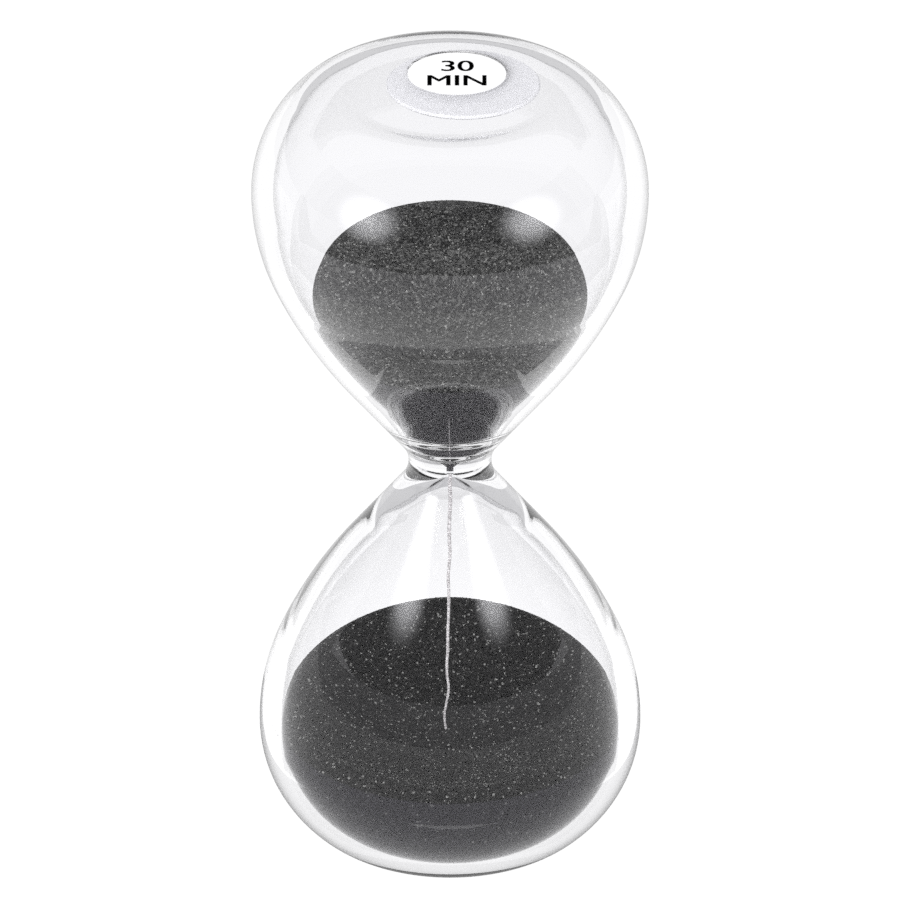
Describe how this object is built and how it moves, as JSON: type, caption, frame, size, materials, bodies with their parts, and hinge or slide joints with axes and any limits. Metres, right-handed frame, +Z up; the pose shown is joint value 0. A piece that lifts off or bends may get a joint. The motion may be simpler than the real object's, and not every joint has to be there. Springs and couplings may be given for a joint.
{
  "type": "hourglass sand timer",
  "caption": "Frameless blown glass hourglass with pear-shaped bulbs, narrow throat, dark sand and a plain duration label on the end.",
  "frame": {"origin": "centre of the end face that the timer stands on", "axes": "+Z up along the axis through both bulbs; +Y towards the side where the sand lies higher"},
  "size_m": [0.0746, 0.0746, 0.16],
  "materials": {
    "glass": "clear, polished",
    "plug": "translucent silicone",
    "label": "smooth white",
    "sand": "fine dark grains"
  },
  "bodies": {
    "root": {"upper_bulb": "glass", "lower_bulb": "glass", "throat": "glass", "fill_plug": "plug", "time_label": "label", "upper_sand": "sand", "lower_sand": "sand", "sand_stream": "sand"}
  },
  "joints": []
}
